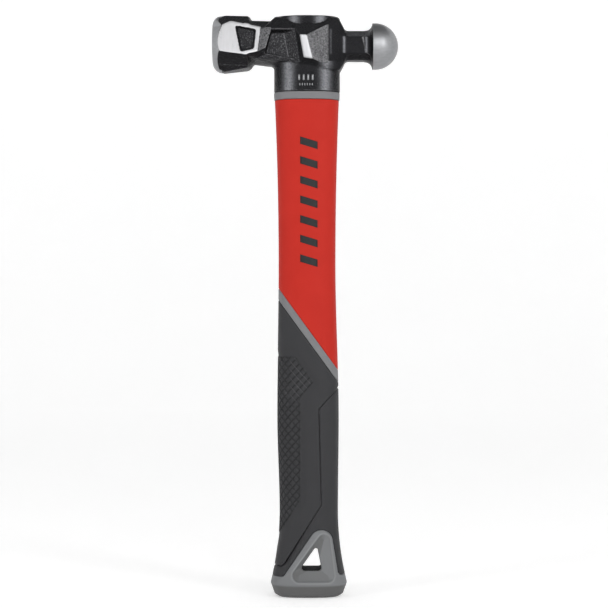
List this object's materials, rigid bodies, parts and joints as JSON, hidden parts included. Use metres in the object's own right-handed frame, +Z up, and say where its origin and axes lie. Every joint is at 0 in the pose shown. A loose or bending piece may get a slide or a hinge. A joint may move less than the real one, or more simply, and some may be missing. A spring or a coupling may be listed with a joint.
{
  "type": "ball peen hammer",
  "caption": "Ball peen hammer with a faceted forged head and a bonded fibreglass-core handle with a soft grip and lanyard hole.",
  "frame": {"origin": "on the flat butt, straight below the axis of the eye", "axes": "+Z up the handle to the head, -X to the striking face, +X to the ball peen, the two like cheeks face -Y and +Y"},
  "size_m": [0.1205, 0.0378, 0.375],
  "materials": {
    "forged_steel": "black phosphated forging with bright ground facets and a satin ball and face",
    "epoxy": "cured resin, semi-gloss",
    "fibreglass": "pultruded glass and resin, satin, fibres along the bar",
    "hard_black": "hard moulded plastic, satin",
    "soft_grey": "soft-touch matte",
    "red_jacket": "fine matte spark texture",
    "soft_black": "soft-touch matte with a moulded diamond texture"
  },
  "bodies": {
    "root": {"hammer_head": "forged_steel", "epoxy_joint": "epoxy", "fibreglass_core": "fibreglass", "inner_body": "hard_black", "neck_ring": "soft_grey", "upper_jacket": "red_jacket", "grip_stripe": "soft_grey", "front_grip": "soft_black", "rear_grip": "soft_black", "butt_cap": "soft_grey"}
  },
  "joints": []
}
